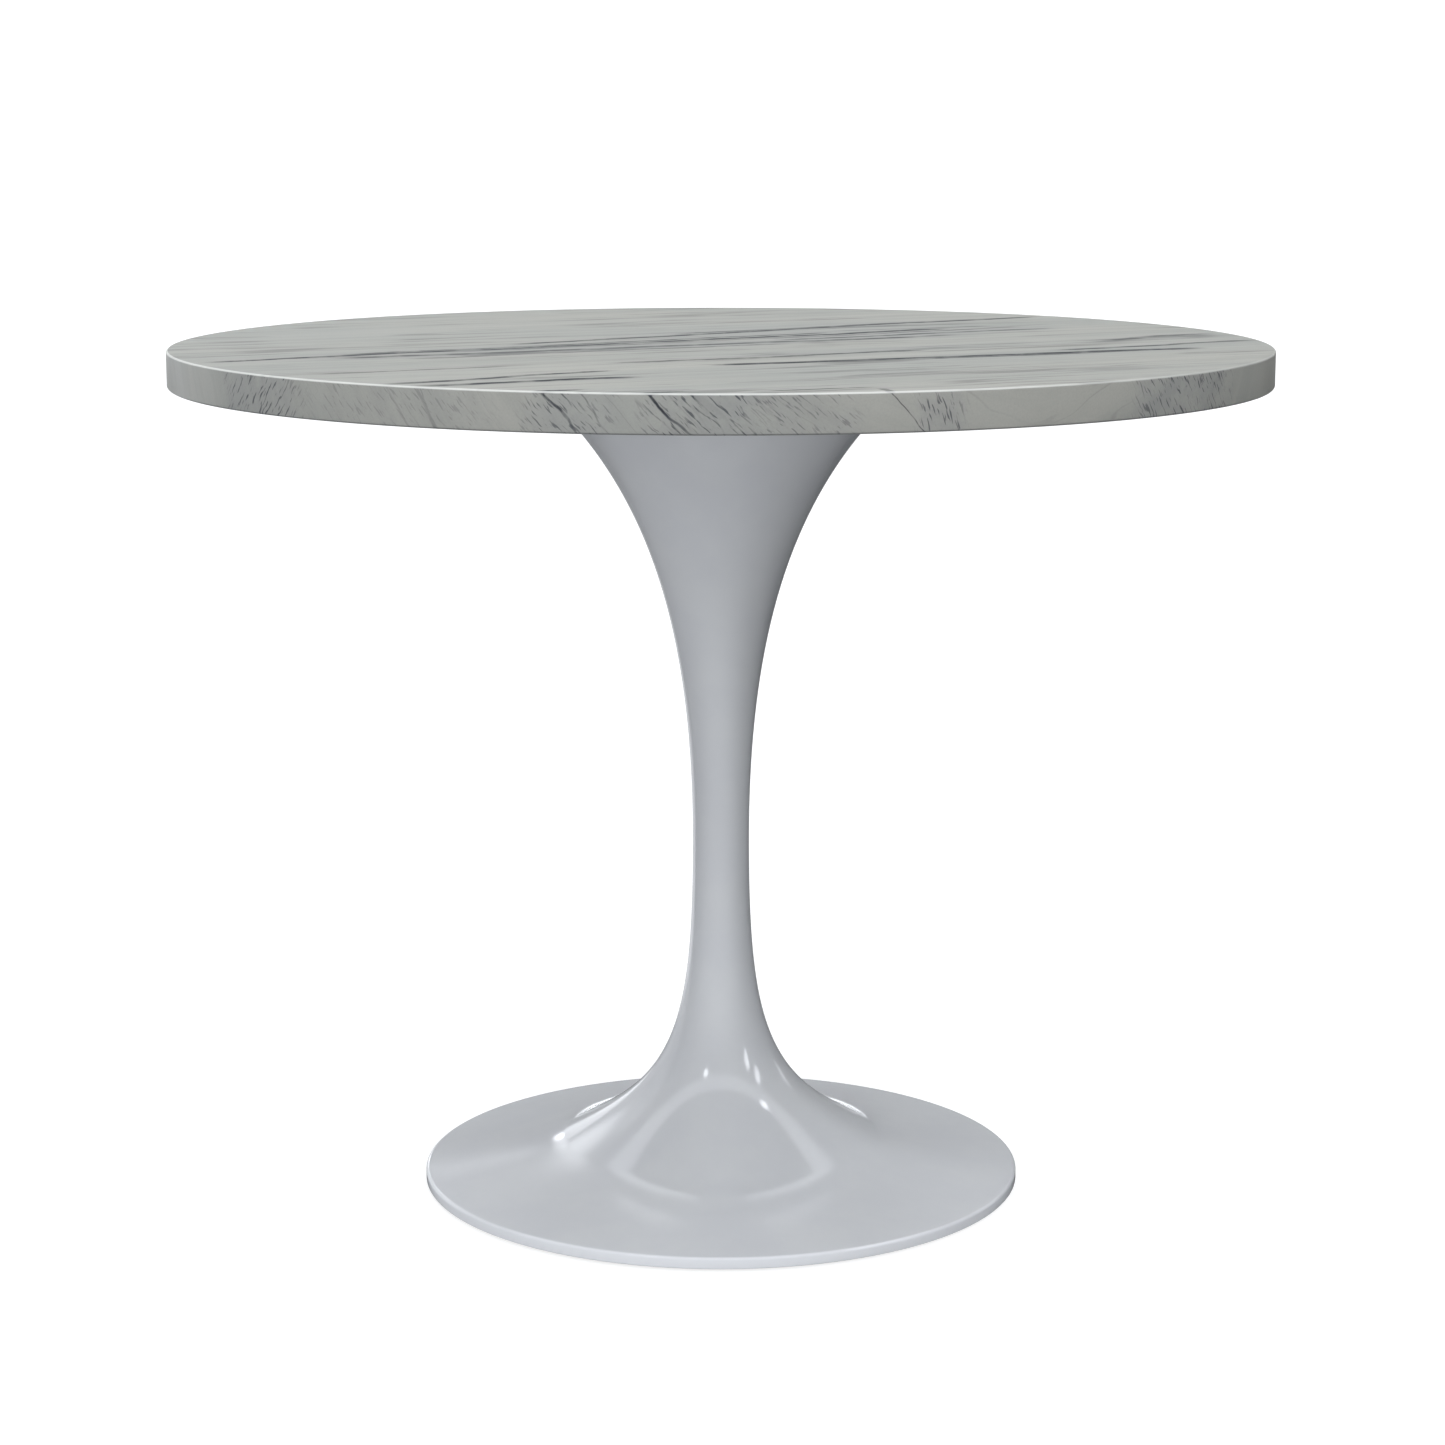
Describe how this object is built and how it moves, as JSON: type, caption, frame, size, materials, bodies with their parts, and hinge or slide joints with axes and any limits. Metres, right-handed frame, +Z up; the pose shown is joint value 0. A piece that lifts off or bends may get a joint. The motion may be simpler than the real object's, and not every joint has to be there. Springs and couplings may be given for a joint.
{
  "type": "round pedestal table",
  "caption": "Round marble-topped dining table on a glossy white trumpet pedestal with a flat disc foot and levelling glides.",
  "frame": {"origin": "on the floor, under the centre of the table, at the level of the glide pads", "axes": "+Z up along the pedestal's axis, +X to the right and +Y to the back as seen from the front"},
  "size_m": [0.9144, 0.9144, 0.72],
  "materials": {
    "marble": "honed to a soft polish",
    "white_enamel": "gloss",
    "zinc_steel": "satin",
    "grey_iron": "matte",
    "brass": "satin",
    "black_rubber": "matte",
    "black_abs": "matte",
    "nylon": "satin"
  },
  "bodies": {
    "table": {"table_top": "marble", "top_inserts": "brass", "top_gasket": "black_rubber", "top_plate": "zinc_steel", "plate_washers": "zinc_steel", "plate_screws": "zinc_steel", "plate_hub": "zinc_steel", "hub_jam_nut": "zinc_steel", "tie_rod": "zinc_steel", "pedestal": "white_enamel", "rod_washer": "zinc_steel", "spring_washer": "zinc_steel", "tie_nut": "zinc_steel", "ballast_ring": "grey_iron", "ballast_bolts": "zinc_steel", "base_cover": "black_abs", "cover_screws": "zinc_steel", "access_plug": "black_abs", "glide_bushes": "brass"},
    "pad_1": {"glide_pad_1": "nylon"},
    "stud_1": {"glide_stud_1": "zinc_steel"},
    "pad_2": {"glide_pad_2": "nylon"},
    "stud_2": {"glide_stud_2": "zinc_steel"},
    "pad_3": {"glide_pad_3": "nylon"},
    "stud_3": {"glide_stud_3": "zinc_steel"},
    "pad_4": {"glide_pad_4": "nylon"},
    "stud_4": {"glide_stud_4": "zinc_steel"}
  },
  "joints": [
    {"name": "glide_travel_1", "type": "slide", "parent": "table", "child": "pad_1", "axis": [0, 0, 1], "range_m": [-0.003, 0.001]},
    {"name": "glide_turn_1", "type": "hinge", "parent": "pad_1", "child": "stud_1", "pos_m": [0.14496, 0.14496, 0.0064], "axis": [0, 0, 1], "range_deg": [-864, 288]},
    {"name": "glide_travel_2", "type": "slide", "parent": "table", "child": "pad_2", "axis": [0, 0, 1], "range_m": [-0.003, 0.001]},
    {"name": "glide_turn_2", "type": "hinge", "parent": "pad_2", "child": "stud_2", "pos_m": [-0.14496, 0.14496, 0.0064], "axis": [0, 0, 1], "range_deg": [-864, 288]},
    {"name": "glide_travel_3", "type": "slide", "parent": "table", "child": "pad_3", "axis": [0, 0, 1], "range_m": [-0.003, 0.001]},
    {"name": "glide_turn_3", "type": "hinge", "parent": "pad_3", "child": "stud_3", "pos_m": [-0.14496, -0.14496, 0.0064], "axis": [0, 0, 1], "range_deg": [-864, 288]},
    {"name": "glide_travel_4", "type": "slide", "parent": "table", "child": "pad_4", "axis": [0, 0, 1], "range_m": [-0.003, 0.001]},
    {"name": "glide_turn_4", "type": "hinge", "parent": "pad_4", "child": "stud_4", "pos_m": [0.14496, -0.14496, 0.0064], "axis": [0, 0, 1], "range_deg": [-864, 288]}
  ],
  "couplings": [
    {"joint": "glide_turn_1", "follows": "glide_travel_1", "rad_per_m": 5026.5},
    {"joint": "glide_turn_2", "follows": "glide_travel_2", "rad_per_m": 5026.5},
    {"joint": "glide_turn_3", "follows": "glide_travel_3", "rad_per_m": 5026.5},
    {"joint": "glide_turn_4", "follows": "glide_travel_4", "rad_per_m": 5026.5}
  ]
}
